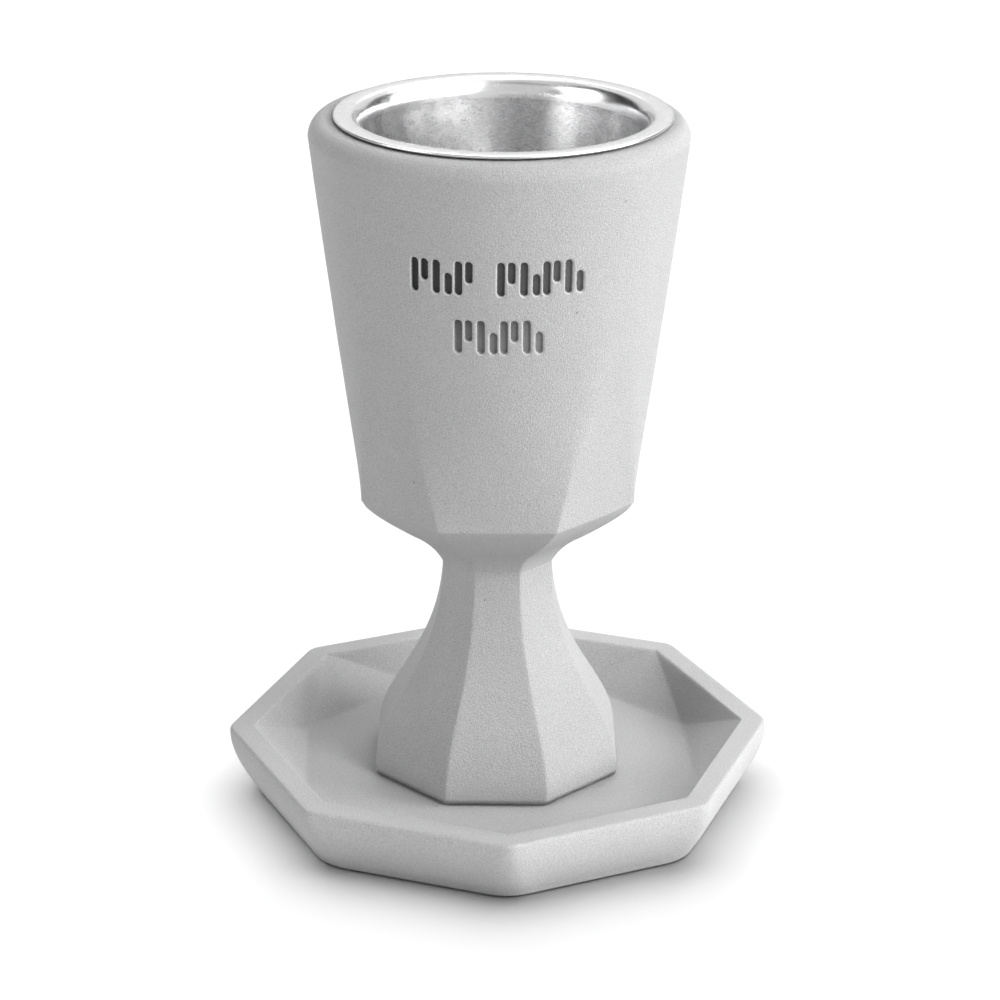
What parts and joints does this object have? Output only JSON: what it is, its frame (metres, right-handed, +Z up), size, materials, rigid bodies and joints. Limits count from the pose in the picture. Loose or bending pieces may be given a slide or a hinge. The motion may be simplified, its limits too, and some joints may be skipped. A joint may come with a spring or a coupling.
{
  "type": "kiddush cup",
  "caption": "Cast concrete goblet on a faceted octagonal foot, with a round lip, a drop-in steel liner and an octagonal cast tray.",
  "frame": {"origin": "centre of the tray's underside", "axes": "+Z up along the goblet, -Y towards the goblet's engraved front, +X to the right of someone who faces that front"},
  "size_m": [0.1162, 0.1162, 0.1496],
  "materials": {
    "tray_concrete": "pale grey fine cast concrete, matt",
    "goblet_concrete": "pale grey fine cast concrete, matt, lightly grained",
    "liner_steel": "polished flange and throat, satin wall"
  },
  "bodies": {
    "root": {"tray": "tray_concrete", "goblet": "goblet_concrete", "liner": "liner_steel"}
  },
  "joints": []
}
